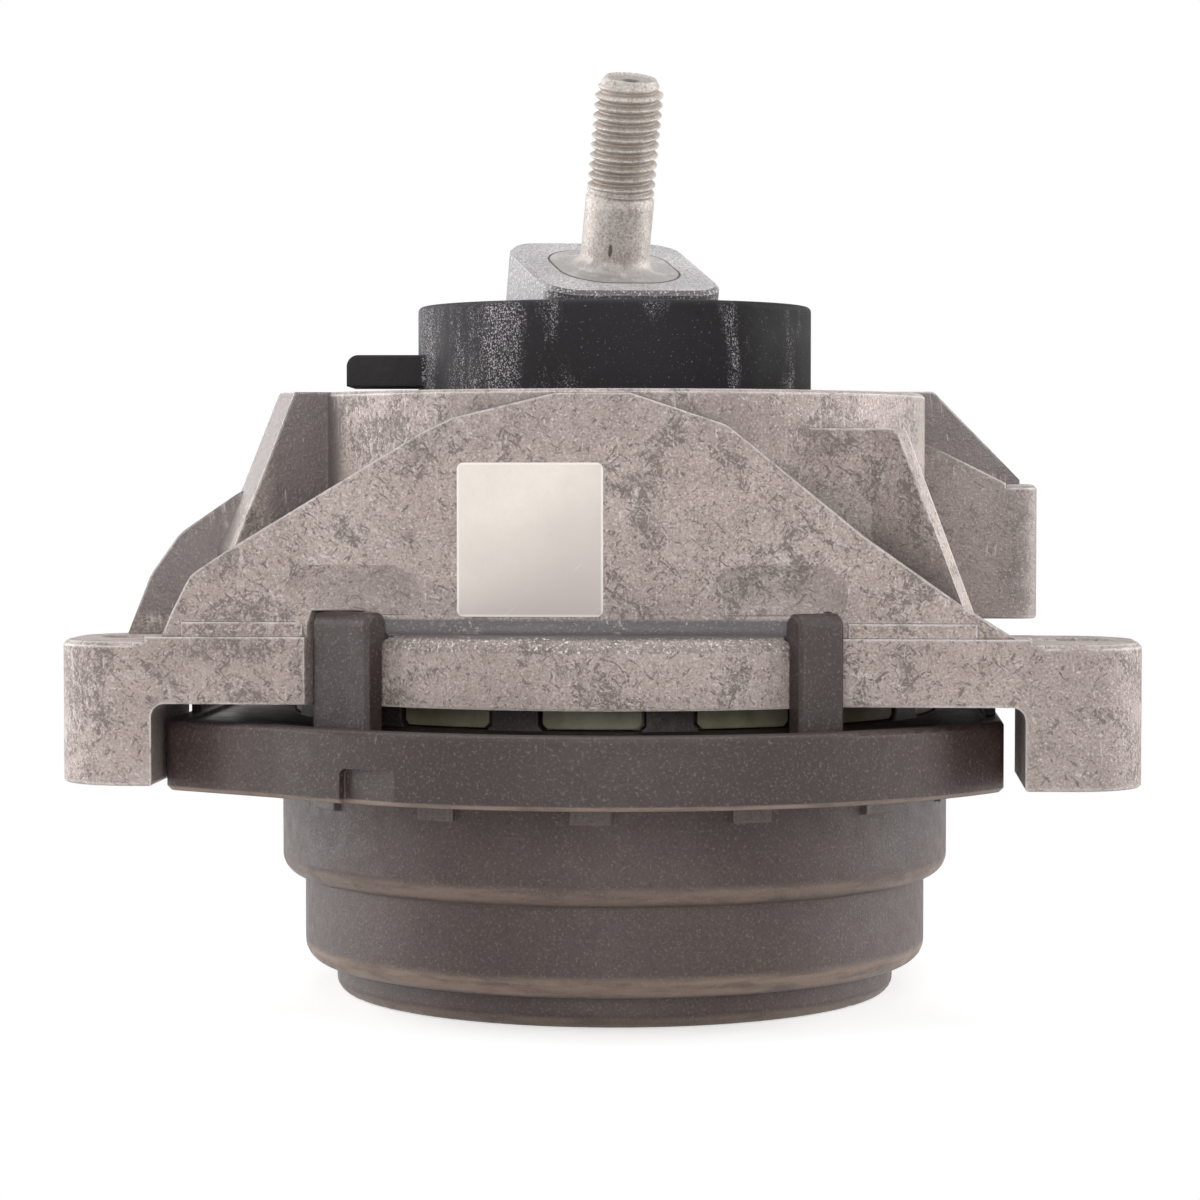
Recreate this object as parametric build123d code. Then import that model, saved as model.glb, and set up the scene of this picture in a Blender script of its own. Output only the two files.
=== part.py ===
from build123d import *
from math import cos, radians, sin
import os

# Hydraulic engine mount: a die-cast aluminium housing with bolt ears, a clipped-on plastic cup,
# a bonded rubber spring round a tilted aluminium core, and a steel stud on top.
# Millimetres, +Z up. The origin is the centre of the cup's flat bottom, the ears lie along X
# and the ribbed front face looks along -Y.

os.makedirs("parts", exist_ok=True)

# Fits and clearances
press_gap = 0.05
clip_gap = 0.1
running_gap = 0.3
seat_gap = 0.02

# Cup: the radius of its top drum, the steps down to its foot, and the lower level of each drum
top_radius = 58.4
top_step = 3.9
middle_step = 5.5
middle_radius = top_radius - top_step
foot_radius = middle_radius - middle_step
middle_level = 5.4
top_level = 20.7
step_round = top_step - 0.2
foot_round = 2.4
wall = 3.0

# Collar of the cup, and the castellated rim that stands on its deck
collar_bottom = 38.5
collar_height = 10.7
collar_deck = collar_bottom + collar_height
rim_height = 7.1
rim_setback = 1.9
rim_wall = 3.3
rim_outer = top_radius - rim_setback
rim_inner = rim_outer - rim_wall
rim_top = collar_deck + rim_height
window_count = 14
window_half_angle = 8.9
window_bridge = 2.4
window_top = rim_top - window_bridge
window_corner = 0.8
key_width = 6.7
key_drop = 4.0
key_proud = 0.8

# Housing barrel, stepped over the rim of the cup, and its flange
seat_clearance = 0.7
seat_rise = 1.9
seat_width = 7.2
barrel_wall = 4.4
opening_lip = 9.5
flange_width = 9.8
flange_lift = 4.1
flange_height = 11.5
barrel_rise = 39.5
seat_radius = rim_outer + seat_clearance
seat_level = rim_top + seat_rise
bore_radius = seat_radius - seat_width
housing_radius = bore_radius + barrel_wall
opening_radius = bore_radius - opening_lip
skirt_radius = seat_radius + flange_width
skirt_bottom = collar_deck + flange_lift
skirt_top = skirt_bottom + flange_height
housing_top = skirt_top + barrel_rise
roof_thick = 7.0
skirt_round = 2.4
cove = 3.0
edge_break = 0.6

# Outline of the collar, cut straight beside the ears
collar_overhang = 11.0
collar_cut_left = 6.8
collar_cut_right = 11.5
collar_radius = skirt_radius + collar_overhang
collar_left = collar_cut_left - collar_radius
collar_right = collar_radius - collar_cut_right
collar_left_front = -0.596 * collar_radius
collar_slant = 0.88
collar_lip = 0.9
collar_wall = 3.4
collar_corner = 4.0
collar_bevel = 0.7
collar_round = 0.8
guard_thick = 1.6
guard_rise = 1.5
guard_half = 27.0
deck_thick = 3.2
collar_rib_thick = 2.2
notch_angle = -26.0
notch_skew_angle = 8.0
notch_width = 11.5
notch_height = 5.6
notch_depth = 0.8
notch_round = 1.2

# Clips that hook over the flange of the housing: angle from the front, and width
clip_places = ((-35.2, 12.3), (31.6, 8.2), (148.4, 8.2), (-144.8, 12.3))
clip_thick = 3.5
clip_rise = 3.6
clip_top = skirt_top + clip_rise
clip_hook = 1.6
clip_ledge = 0.8
clip_round = 2.2
clip_bevel = 0.6

# Front ears
ear_clear_left = 0.6
ear_clear_right = 2.7
ear_overhang = 10.5
ear_inner_left = collar_left - ear_clear_left
ear_inner_right = collar_right + ear_clear_right
ear_reach = collar_radius + ear_overhang
ear_drop = 1.4
ear_bottom = collar_bottom + ear_drop
ear_top = skirt_top - 1.5
ear_round = 12.0
ear_bevel = 0.7
ear_root = 24.0
ear_fillet = 2.2
hole_radius = 5.25
hole_margin = 10.3
front_hole_x = ear_reach - hole_margin

# Front plate, whose shoulders fall from the barrel to the front ears:
# distance inwards from the ear, and height above the flange
plate_front = -housing_radius - 0.1
plate_thick = 7.5
left_shoulders = ((65.8, 38.8), (49.2, 34.8), (44.6, 32.7), (11.7, 12.9), (6.4, 9.3), (3.3, 3.2),
                  (1.5, -1.2))
right_shoulders = ((63.2, 38.8), (47.6, 33.6), (25.7, 15.7), (9.9, 4.5), (0.6, -1.2))
shoulder_round = 4.0
skirt_step = 0.5
skirt_step_drop = 0.6
pad_proud = 0.25
pad_rise = 1.8
left_pad = (5.0, 24.8)
right_pad = (7.7, 28.2)
ear_depth = 32.5
front_hole_inset = 19.0
ear_back = plate_front + ear_depth
front_hole_y = plate_front + front_hole_inset

# Smooth hollows cast into the plate beside the front clips: from X, to X
scoops = ((-45.0, -33.0), (24.0, 36.0))
scoop_radius = 12.0
scoop_depth = 1.1
scoop_rise = 6.2

# Ribs that stiffen the barrel: distance out from their root, and height above the flange
rib_thick = 4.6
left_rib_angle = 206.0
left_rib_thick = 9.0
left_rib_outline = ((5.6, barrel_rise), (16.4, 13.2), (17.0, 5.2))
leg_outline = ((-19.8, 27.2), (-9.4, 22.4), (0.6, 15.6), (5.6, 8.6), (9.8, -2.0))
leg_round = 9.0
right_rib_start = (0.7 * housing_radius, -0.66 * housing_radius)
right_rib_angle = -20.0
right_rib_outline = ((12.2, 33.2), (24.0, 3.2))
right_rib_round = 1.6
blend_reach = 8.0
blend_hollow = 0.9

# Rear ear, set higher than the front ones, with its front wall and its gusset:
# distance out from its root, and height above its top face
rear_overhang = 21.2
rear_root = 7.4
rear_hole_margin = 11.6
rear_drop = 0.8
rear_rise = 23.6
rear_ear_reach = housing_radius + rear_overhang
rear_ear_inner = housing_radius - rear_root
rear_ear_front = 24.0
rear_ear_back = 50.0
rear_ear_bottom = skirt_top - rear_drop
rear_ear_top = skirt_top + rear_rise
rear_ear_round = 4.0
rear_hole_x = rear_ear_reach - rear_hole_margin
rear_hole_y = (rear_ear_front + rear_ear_back) / 2
rear_wall_outline = ((3.0, 10.6), (10.2, 6.6), (22.8, 0.3))
rear_gusset_outline = ((0.0, 17.4), (10.2, 17.4), (26.4, 0.8))
rear_gusset_round = 1.5

# Rubber spring
neck_clearance = 6.0
neck_rise = 15.3
neck_radius = opening_radius - neck_clearance
neck_top = housing_top + neck_rise
neck_round = 0.9
ring_height = 23.8
ring_wall = 2.4
ring_top = seat_level + ring_height
waist_inset = 1.5
waist_rise = 6.0
waist_radius = neck_radius - waist_inset
waist_level = ring_top + waist_rise
neck_level = waist_level + 7.0
cavity_inset = 7.0
cavity_rise = 7.8
cavity_depth = 10.0
cavity_mouth = bore_radius - cavity_inset
cavity_level = seat_level + cavity_rise
cavity_roof = cavity_level + cavity_depth
cavity_roof_radius = 15.0
tab_overhang = 5.9
tab_rise = 6.7
tab_reach = opening_radius + tab_overhang
tab_width = 22.0
tab_top = housing_top + tab_rise
tab_thick = 5.4
tab_round = 2.0
tab_angle = 184.0

# Tilted core and stud
core_tilt = 18.6
core_heading = -70.5
core_turn = 21.5
core_rise = 7.2
core_centre = (0.0, -2.0, neck_top + core_rise)
core_side = 32.0
core_corner = 6.2
core_block_depth = 20.0
core_nose_radius = 11.5
core_nose_depth = 40.0
core_nose_round = 2.5
core_edge = 0.7
stud_flange_side = 22.0
stud_flange_corner = 8.2
stud_flange_thick = 5.0
stud_flange_proud = 0.05
stud_radius = 6.0
stud_length = 33.5
thread_length = 20.0
thread_root_radius = 5.1
thread_lead = 1.4
stud_flare = 2.6
press_shank_radius = 5.6
press_shank_length = 26.0
dimple_radius = 1.5
dimple_depth = 1.6
dish_radius = 4.1
dish_depth = 0.5

# Channel plates, decoupler and diaphragm inside
plate_clearance = 0.4
lug_setback = 0.5
lug_lift = 0.4
lug_half_angle = 8.2
lower_plate_drop = 7.9
split_drop = 2.8
plate_radius = rim_inner - plate_clearance
lug_reach = rim_outer - lug_setback
lug_bottom = collar_deck + lug_lift
lower_plate_bottom = rim_top - lower_plate_drop
plate_split = rim_top - split_drop
channel_margin = 6.8
channel_width = 9.0
channel_base = 2.6
cage_margin = 10.0
channel_outer = plate_radius - channel_margin
channel_inner = channel_outer - channel_width
channel_floor = lower_plate_bottom + channel_base
channel_wrap_angle = 318.0
cage_radius = channel_inner - cage_margin
cage_depth = 2.4
cage_hole_radius = 3.2
cage_hole_rings = (0.0, 0.37 * cage_radius, 0.72 * cage_radius)
cage_hole_counts = (1, 6, 12)
membrane_clearance = 0.8
membrane_radius = cage_radius - membrane_clearance
membrane_thick = 3.8
bead_clearance = 0.6
bead_width = 7.2
bead_height = 4.2
bead_outer = rim_inner - bead_clearance
bead_inner = bead_outer - bead_width
bead_bottom = lower_plate_bottom - bead_height
support_width = 4.6
support_height = 2.4
support_inner = bead_outer - support_width
support_ledge = bead_bottom - support_height
diaphragm_wall = 1.6
diaphragm_crown_drop = 11.2
diaphragm_line = ((31.4, 12.2), (21.4, 20.2), (14.4, 30.2), (8.4, 28.2), (3.4, 16.2))

# Blank label on the front plate
label_width = 23.6
label_height = 24.8
label_corner = 1.1
label_thick = 0.12
label_x = -10.1
label_rise = 15.2


def turned(points):
    """Solid of revolution about Z from (radius, level) points."""
    return revolve(make_face(Polyline(*[(r, 0, z) for r, z in points], close=True)), Axis.Z)


def disc(radius, bottom, top, hole=0.0):
    """Flat round plate between two levels, with an optional round hole."""
    plate = Pos(0, 0, bottom) * Cylinder(radius, top - bottom, align=(Align.CENTER, Align.CENTER, Align.MIN))
    if hole:
        plate -= Pos(0, 0, bottom - 1) * Cylinder(
            hole, top - bottom + 2, align=(Align.CENTER, Align.CENTER, Align.MIN))
    return plate


def block(x0, x1, y0, y1, z0, z1):
    """Box between two corners."""
    return Pos((x0 + x1) / 2, (y0 + y1) / 2, (z0 + z1) / 2) * Box(x1 - x0, y1 - y0, z1 - z0)


def raised(face, height):
    """Face in the XY plane pushed up by a height, whichever way the face points."""
    return extrude(face, height, dir=(0, 0, 1))


def sector(inner, outer, bottom, top, middle_angle, half_angle):
    """Ring segment about Z, middle_angle measured from +X."""
    a0, a1 = radians(middle_angle - half_angle), radians(middle_angle + half_angle)
    am = radians(middle_angle)
    edges = [
        Line((inner * cos(a0), inner * sin(a0)), (outer * cos(a0), outer * sin(a0))),
        ThreePointArc((outer * cos(a0), outer * sin(a0)), (outer * cos(am), outer * sin(am)),
                      (outer * cos(a1), outer * sin(a1))),
        Line((outer * cos(a1), outer * sin(a1)), (inner * cos(a1), inner * sin(a1))),
        ThreePointArc((inner * cos(a1), inner * sin(a1)), (inner * cos(am), inner * sin(am)),
                      (inner * cos(a0), inner * sin(a0))),
    ]
    return Pos(0, 0, bottom) * raised(make_face(edges), top - bottom)


def notched_sector(inner, outer, bottom, top, middle_angle, half_angle):
    """Ring segment with its two lower side corners cut off."""
    body = sector(inner, outer, bottom, top, middle_angle, half_angle)
    return chamfer(body.faces().sort_by(Axis.Z)[0].edges().filter_by(GeomType.LINE), window_corner)


def radial_web(angle, thick, points):
    """Flat web in the plane through Z at an angle from +X, from (distance out, level) points."""
    face = make_face(Polyline(*[(r, 0, z) for r, z in points], close=True))
    return Rot(0, 0, angle) * extrude(face, thick / 2, both=True)


def ring_edges(solid, radius, level):
    """Round edges of one radius at one level."""
    return [edge for edge in solid.edges().filter_by(GeomType.CIRCLE)
            if abs(edge.center().Z - level) < 0.01 and abs(edge.radius - radius) < 0.01]


def front_angle(angle):
    """Angle from +X of a place given by its angle from the front, positive to the right."""
    return angle - 90


def core_frame():
    """Place of the core: its top face centre, with local Z along the stud."""
    return Pos(*core_centre) * Rot(0, 0, core_heading) * Rot(0, core_tilt, 0) * Rot(
        0, 0, core_turn - core_heading)


def cup_body():
    """Stepped cup turned as one wall, rounded at each step."""
    outer = [(0, 0), (foot_radius, 0), (foot_radius, middle_level), (middle_radius, middle_level),
             (middle_radius, top_level), (top_radius, top_level), (top_radius, collar_deck),
             (rim_outer, collar_deck), (rim_outer, rim_top), (0, rim_top)]
    body = turned(outer)
    body = fillet(ring_edges(body, middle_radius, middle_level) + ring_edges(body, top_radius, top_level),
                  step_round)
    body = fillet(ring_edges(body, foot_radius, 0), foot_round)
    inner = [(0, wall), (foot_radius - wall, wall), (foot_radius - wall, middle_level + wall),
             (middle_radius - wall, middle_level + wall), (middle_radius - wall, support_ledge),
             (rim_inner, support_ledge), (rim_inner, rim_top + 1), (0, rim_top + 1)]
    return body - turned(inner)


def collar():
    """Deck and outer wall of the collar, cut straight beside the ears, with guards above and ribs below."""
    height = collar_deck + collar_lip - collar_bottom
    span = collar_right - collar_left
    clipped = Pos((collar_left + collar_right) / 2, 0) * Rectangle(span, 2 * collar_radius)
    corner = make_face(Polyline(
        (collar_left, 0), (collar_left, collar_left_front),
        (collar_left / 2, -collar_slant * collar_radius), (0, 0), close=True))
    outline = (Circle(collar_radius) & clipped) + corner
    ends = [vertex for vertex in outline.vertices() if abs(vertex.Y) < collar_radius * collar_slant ** 2]
    outline = fillet(ends, collar_corner)
    shell = Pos(0, 0, collar_bottom) * raised(outline, height)
    lower_edge = shell.edges().group_by(Axis.Z)[0]
    shell = chamfer(lower_edge, collar_bevel)
    shell = fillet(shell.faces().sort_by(Axis.Z)[-1].edges(), collar_round)
    inside = offset(outline, -collar_wall, kind=Kind.ARC)
    shell -= Pos(0, 0, collar_bottom - 1) * raised(inside, collar_deck - deck_thick - collar_bottom + 1)
    shell -= Pos(0, 0, collar_deck) * raised(inside, collar_lip + 1)
    ribs = Part()
    for i in range(window_count):
        angle = front_angle((i + 0.5) * 360 / window_count)
        ribs += radial_web(angle, collar_rib_thick, [
            (top_radius - 1, collar_bottom + 2), (collar_radius, collar_bottom + 2),
            (collar_radius, collar_deck - 1), (top_radius - 1, collar_deck - 1)])
    ribs &= Pos(0, 0, collar_bottom) * raised(offset(outline, -collar_wall / 2), height - 2)
    shell += ribs
    for side in (collar_left + collar_round, collar_right - collar_round - guard_thick):
        shell += block(side, side + guard_thick, -guard_half, guard_half,
                       collar_deck - 1, collar_deck + collar_lip + guard_rise)
    shell -= disc(top_radius - 1, collar_bottom - 1, collar_deck + collar_lip + 1)
    return shell


def clip(angle, width):
    """Strap up from the collar, hooked over the flange of the housing."""
    inner = skirt_radius + clip_gap
    outer = inner + clip_thick
    tip = inner - clip_hook
    hook_under = skirt_top - clip_ledge + seat_gap
    profile = make_face(Polyline(
        (inner, 0, collar_bottom + 3), (outer, 0, collar_bottom + 3), (outer, 0, clip_top),
        (tip, 0, clip_top), (tip, 0, hook_under), (inner, 0, hook_under), close=True))
    strap = extrude(profile, width / 2, both=True)
    crown = strap.edges().filter_by(Axis.Y).group_by(Axis.Z)[-1]
    strap = fillet(crown, clip_round)
    side = [edge for edge in strap.edges() if abs(abs(edge.center().Y) - width / 2) < 0.01
            and edge.center().X > outer - clip_bevel and edge.center().Z > collar_deck]
    strap = chamfer(side, clip_bevel)
    return Rot(0, 0, front_angle(angle)) * strap


def make_bottom_cover():
    cover = cup_body() + collar()
    for angle, width in clip_places:
        cover += clip(angle, width)
    for i in range(window_count):
        angle = front_angle(i * 360 / window_count)
        cover -= notched_sector(rim_inner - 1, rim_outer + 0.6, collar_deck + 0.1, window_top, angle,
                                window_half_angle)
        cover += Rot(0, 0, angle) * block(top_radius - 1, top_radius + key_proud, -key_width / 2,
                                          key_width / 2, collar_bottom - key_drop, collar_deck - 1)
    recess = block(-notch_depth, 3 * notch_depth, -notch_width / 2, notch_width / 2,
                   collar_bottom - 1, collar_bottom + notch_height)
    recess = fillet(recess.edges().filter_by(Axis.X).group_by(Axis.Z)[-1], notch_round)
    turn = Rot(0, 0, front_angle(notch_angle))
    return cover - turn * Pos(collar_radius, 0) * Rot(0, 0, -notch_skew_angle) * recess


def front_plate():
    """Front plate between the ears, its lower band and its two casting pads a little proud."""
    left = [(ear_inner_left + inward, skirt_top + rise) for inward, rise in left_shoulders]
    right = [(ear_inner_right - inward, skirt_top + rise) for inward, rise in right_shoulders]
    outline = [*left, (left[-1][0], skirt_bottom), (right[-1][0], skirt_bottom), *reversed(right)]
    face = make_face(Polyline(*[(x, plate_front, z) for x, z in outline], close=True))
    plate = extrude(face, plate_thick, dir=(0, 1, 0))
    knee_x = [x for x, z in left[1:-1] + right[1:-1]]
    knees = [edge for edge in plate.edges().filter_by(Axis.Y)
             if min(abs(edge.center().X - x) for x in knee_x) < 0.01]
    plate = fillet(knees, shoulder_round)
    step_level = skirt_top - skirt_step_drop
    plate += block(ear_inner_left - 1, ear_inner_right + 1, plate_front - skirt_step,
                   plate_front + plate_thick, skirt_bottom, step_level)
    pads = ((ear_inner_left + left_pad[0], ear_inner_left + left_pad[1]),
            (ear_inner_right - right_pad[1], ear_inner_right - right_pad[0]))
    for x0, x1 in pads:
        plate += block(x0, x1, plate_front - pad_proud, plate_front + 1, step_level - 1,
                       skirt_top + pad_rise)
    return plate


def ear(inner, reach, front, back, bottom, top, corner):
    """Bolt ear along +X with a rounded end and a fine bevel at its top and bottom."""
    body = block(inner, reach, front, back, bottom, top)
    ends = [edge for edge in body.edges().filter_by(Axis.Z) if edge.center().X > reach - 0.01]
    body = fillet(ends, corner)
    body = chamfer(body.faces().sort_by(Axis.Z)[-1].edges(), ear_bevel)
    return chamfer(body.faces().sort_by(Axis.Z)[0].edges(), ear_bevel / 2)


def drilled(solid, x, y, bottom, top):
    """Bolt hole with a light chamfer at both mouths."""
    up = (Align.CENTER, Align.CENTER, Align.MIN)
    tool = Pos(x, y, bottom - 1) * Cylinder(hole_radius, top - bottom + 2, align=up)
    rim = Cone(hole_radius + edge_break, hole_radius, edge_break, align=up)
    tool += Pos(x, y, bottom) * rim
    tool += Pos(x, y, top) * Rot(180, 0, 0) * rim
    return solid - tool


def front_ear(inner):
    """One front ear with the shoulder block that carries it off the flange, built to the right."""
    front = plate_front - skirt_step
    body = ear(inner, ear_reach, front, ear_back, ear_bottom, ear_top, ear_round)
    body += block(inner - ear_root, inner + ear_round / 4, front, ear_back, skirt_bottom, ear_top)
    armpit = [edge for edge in body.edges().filter_by(Axis.Y)
              if abs(edge.center().X - inner) < 0.01 and abs(edge.center().Z - skirt_bottom) < 0.01]
    return fillet(armpit, ear_fillet)


def front_ears():
    """Both front ears with their bolt holes."""
    both = front_ear(ear_inner_right) + mirror(front_ear(-ear_inner_left), Plane.YZ)
    for side in (-1, 1):
        both = drilled(both, side * front_hole_x, front_hole_y, ear_bottom, ear_top)
    return both


def rib_blend():
    """Hollow cast blend that leads from the barrel onto the front of the slanted rib."""
    along = (cos(radians(right_rib_angle)), sin(radians(right_rib_angle)))
    corner = (right_rib_start[0] + along[1] * rib_thick / 2, right_rib_start[1] - along[0] * rib_thick / 2)
    on_rib = (corner[0] + blend_reach * along[0], corner[1] + blend_reach * along[1])
    radius = (corner[0] ** 2 + corner[1] ** 2) ** 0.5
    on_barrel = (corner[0] + blend_reach * corner[1] / radius, corner[1] - blend_reach * corner[0] / radius)
    middle = ((on_barrel[0] + on_rib[0] + 2 * corner[0]) / 4,
              (on_barrel[1] + on_rib[1] + 2 * corner[1]) / 4 - blend_hollow)
    hollow = ThreePointArc(on_rib, middle, on_barrel)
    face = make_face([Line(on_barrel, corner), Line(corner, on_rib), hollow])
    return Pos(0, 0, skirt_top - 1) * raised(face, right_rib_outline[0][1] + 1)


def housing_ribs():
    """Left rib and leg, and the slanted rib on the right."""
    root = bore_radius + 2
    foot = skirt_top - 1
    rib = [(housing_radius + out, skirt_top + rise) for out, rise in left_rib_outline]
    ribs = radial_web(left_rib_angle, left_rib_thick,
                      [(root, housing_top), *rib, (rib[-1][0], foot), (root, foot)])
    leg = [(ear_inner_left - out, skirt_top + rise) for out, rise in leg_outline]
    leg_web = extrude(make_face(Polyline(*[(x, ear_back, z) for x, z in leg + [(leg[0][0], leg[-1][1])]],
                                         close=True)), rib_thick, dir=(0, -1, 0))
    bends = [edge for edge in leg_web.edges().filter_by(Axis.Y)
             if min(abs(edge.center().X - x) for x, z in leg[1:-1]) < 0.01]
    ribs += fillet(bends, leg_round)
    crest = skirt_top + right_rib_outline[0][1]
    slant = [(out, skirt_top + rise) for out, rise in right_rib_outline]
    web = radial_web(0, rib_thick, [(0, crest), *slant, (slant[-1][0], foot), (0, foot)])
    corner = [edge for edge in web.edges().filter_by(Axis.Y) if abs(edge.center().X - slant[0][0]) < 0.01]
    web = Rot(0, 0, right_rib_angle) * fillet(corner, right_rib_round)
    return ribs + Pos(*right_rib_start) * web + rib_blend()


def rear_ear():
    """Higher ear at the back, with a low wall at its front and a gusset at its back."""
    body = ear(rear_ear_inner, rear_ear_reach, rear_ear_front, rear_ear_back, rear_ear_bottom,
               rear_ear_top, rear_ear_round)
    foot = rear_ear_top - 2 * ear_bevel
    wall_line = [(rear_ear_inner + out, rear_ear_top + rise) for out, rise in rear_wall_outline]
    wall_line += [(wall_line[-1][0], foot), (wall_line[0][0], foot)]
    body += extrude(make_face(Polyline(*[(x, rear_ear_front, z) for x, z in wall_line], close=True)),
                    rib_thick, dir=(0, 1, 0))
    gusset = [(rear_ear_inner + out, rear_ear_top + rise) for out, rise in rear_gusset_outline]
    gusset += [(gusset[-1][0], foot), (gusset[0][0], foot)]
    web = extrude(make_face(Polyline(*[(x, rear_ear_back, z) for x, z in gusset], close=True)),
                  rib_thick, dir=(0, -1, 0))
    crest = [edge for edge in web.edges().filter_by(Axis.Y) if abs(edge.center().X - gusset[1][0]) < 0.01]
    body += fillet(crest, rear_gusset_round)
    return drilled(body, rear_hole_x, rear_hole_y, rear_ear_bottom, rear_ear_top)


def cove_face(edge):
    """Hollow corner fillet against an upright wall at the distance edge, standing on the flange."""
    low, high = skirt_top - 0.1, skirt_top + cove
    middle = (edge + cove * (1 - cos(radians(45))), 0, high - cove * sin(radians(45)))
    return make_face([
        Line((edge - 1, 0, high), (edge - 1, 0, low)), Line((edge - 1, 0, low), (edge + cove, 0, low)),
        Line((edge + cove, 0, low), (edge + cove, 0, skirt_top)),
        ThreePointArc((edge + cove, 0, skirt_top), middle, (edge, 0, high)),
        Line((edge, 0, high), (edge - 1, 0, high))])


def coves():
    """Cast fillets above the flange, round the barrel and along the front plate."""
    half = (skirt_radius ** 2 - (plate_front - cove) ** 2) ** 0.5
    straight = Rot(0, 0, -90) * extrude(cove_face(-plate_front), half, both=True)
    return revolve(cove_face(housing_radius), Axis.Z) + straight


def clip_pocket(angle, width):
    """Room in the housing for one clip of the cup, with a flat ledge under its hook."""
    half = width / 2 + running_gap
    ledge = skirt_top - clip_ledge
    reach = skirt_radius + clip_thick + clip_round
    pocket = block(skirt_radius, reach, -half, half, skirt_bottom - 1, ledge + 0.1)
    pocket += block(skirt_radius - clip_hook - running_gap, reach, -half, half, ledge, clip_top + clip_gap)
    return Rot(0, 0, front_angle(angle)) * pocket


def scoop(x0, x1):
    """Long hollow with round ends that bites into the front plate above the flange."""
    y = plate_front + scoop_depth - scoop_radius
    z = skirt_top + scoop_rise
    tool = Pos((x0 + x1) / 2, y, z) * Rot(0, 90, 0) * Cylinder(scoop_radius, x1 - x0)
    return tool + Pos(x0, y, z) * Sphere(scoop_radius) + Pos(x1, y, z) * Sphere(scoop_radius)


def make_housing():
    barrel = disc(housing_radius, skirt_bottom, housing_top)
    flange = disc(skirt_radius, skirt_bottom, skirt_top)
    flange = fillet(ring_edges(flange, skirt_radius, skirt_top), skirt_round)
    plate = front_plate()
    for x0, x1 in scoops:
        plate -= scoop(x0, x1)
    body = barrel + flange + coves() + plate + front_ears() + housing_ribs() + rear_ear()
    body = chamfer(ring_edges(body, housing_radius, housing_top), edge_break)
    for angle, width in clip_places:
        body -= clip_pocket(angle, width)
    bore = [(0, skirt_bottom - 1), (seat_radius, skirt_bottom - 1), (seat_radius, seat_level),
            (bore_radius, seat_level), (bore_radius, housing_top - roof_thick - 4),
            (opening_radius + 4, housing_top - roof_thick), (opening_radius, housing_top - roof_thick),
            (opening_radius, housing_top - 1.5), (opening_radius + 1.5, housing_top),
            (opening_radius + 1.5, housing_top + 1), (0, housing_top + 1)]
    return body - turned(bore)


def core_body():
    """Core before it is bored: a rounded square block on a tapered nose, in its own frame."""
    face = RectangleRounded(core_side, core_side, core_corner)
    body = chamfer(extrude(face, -core_block_depth).faces().sort_by(Axis.Z)[-1].edges(), core_edge)
    nose = Pos(0, 0, -core_nose_depth) * Circle(core_nose_radius)
    body += loft([Pos(0, 0, -core_block_depth) * face, nose])
    return fillet(body.faces().sort_by(Axis.Z)[0].edges(), core_nose_round)


def make_core():
    socket = Pos(0, 0, -stud_flange_thick) * extrude(
        RectangleRounded(stud_flange_side, stud_flange_side, stud_flange_corner), stud_flange_thick + 1)
    shank = Cylinder(press_shank_radius, press_shank_length + 1,
                     align=(Align.CENTER, Align.CENTER, Align.MAX))
    return core_frame() * (core_body() - socket - shank)


def make_stud():
    lift = stud_flange_proud
    flange = Pos(0, 0, seat_gap - stud_flange_thick) * extrude(RectangleRounded(
        stud_flange_side - 2 * press_gap, stud_flange_side - 2 * press_gap,
        stud_flange_corner - press_gap), stud_flange_thick - seat_gap + lift)
    flare = stud_radius + stud_flare
    thread_start = stud_length - thread_length
    shank = press_shank_radius - press_gap
    shank_end = seat_gap - press_shank_length
    shaft = turned([
        (0, shank_end), (shank - 1, shank_end), (shank, shank_end + 1), (shank, 0), (flare, 0), (flare, lift),
        (stud_radius + 0.35 * stud_flare, lift + 0.35 * stud_flare), (stud_radius, lift + stud_flare),
        (stud_radius, thread_start - 1.2), (thread_root_radius, thread_start),
        (stud_radius - 0.1, thread_start + 1.2), (stud_radius - 0.1, stud_length - thread_lead),
        (stud_radius - 0.1 - thread_lead, stud_length), (dish_radius, stud_length),
        (dimple_radius, stud_length - dish_depth),
        (dimple_radius, stud_length - dimple_depth), (0, stud_length - dimple_depth - edge_break)])
    return core_frame() * (flange + shaft)


def make_spring_ring():
    outer = bore_radius - press_gap
    inner = outer - ring_wall
    foot = seat_level - ring_wall + 0.5
    ring = turned([
        (inner, foot), (seat_radius - running_gap, foot), (seat_radius - running_gap, seat_level - seat_gap),
        (outer, seat_level - seat_gap), (outer, ring_top), (inner, ring_top)])
    return ring


def make_main_spring():
    inner = bore_radius - press_gap - ring_wall
    foot = seat_level - ring_wall + 0.5
    outline = turned([
        (0, foot), (inner, foot), (inner, ring_top - 1.5), (inner - 3.0, ring_top - 1.0),
        (waist_radius + 3.5, waist_level), (waist_radius, neck_level - 2), (neck_radius, neck_level + 3),
        (neck_radius, neck_top), (0, neck_top)])
    outline = fillet(ring_edges(outline, neck_radius, neck_top), neck_round)
    cavity = turned([
        (0, foot - 1), (cavity_mouth, foot - 1), (cavity_mouth, cavity_level - 4),
        (cavity_mouth - 3, cavity_level), (cavity_roof_radius + 3, cavity_roof),
        (cavity_roof_radius - 6, cavity_roof + 2), (0, cavity_roof + 2)])
    tab = block(neck_radius - 6, tab_reach, -tab_width / 2, tab_width / 2, tab_top - tab_thick, tab_top)
    tip = tab.faces().sort_by(Axis.X)[-1]
    tab = fillet(tip.edges().filter_by(Axis.Y).sort_by(Axis.Z)[-1:], tab_round)
    rubber = outline + Rot(0, 0, tab_angle) * tab
    return rubber - cavity - core_frame() * core_body()


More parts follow.
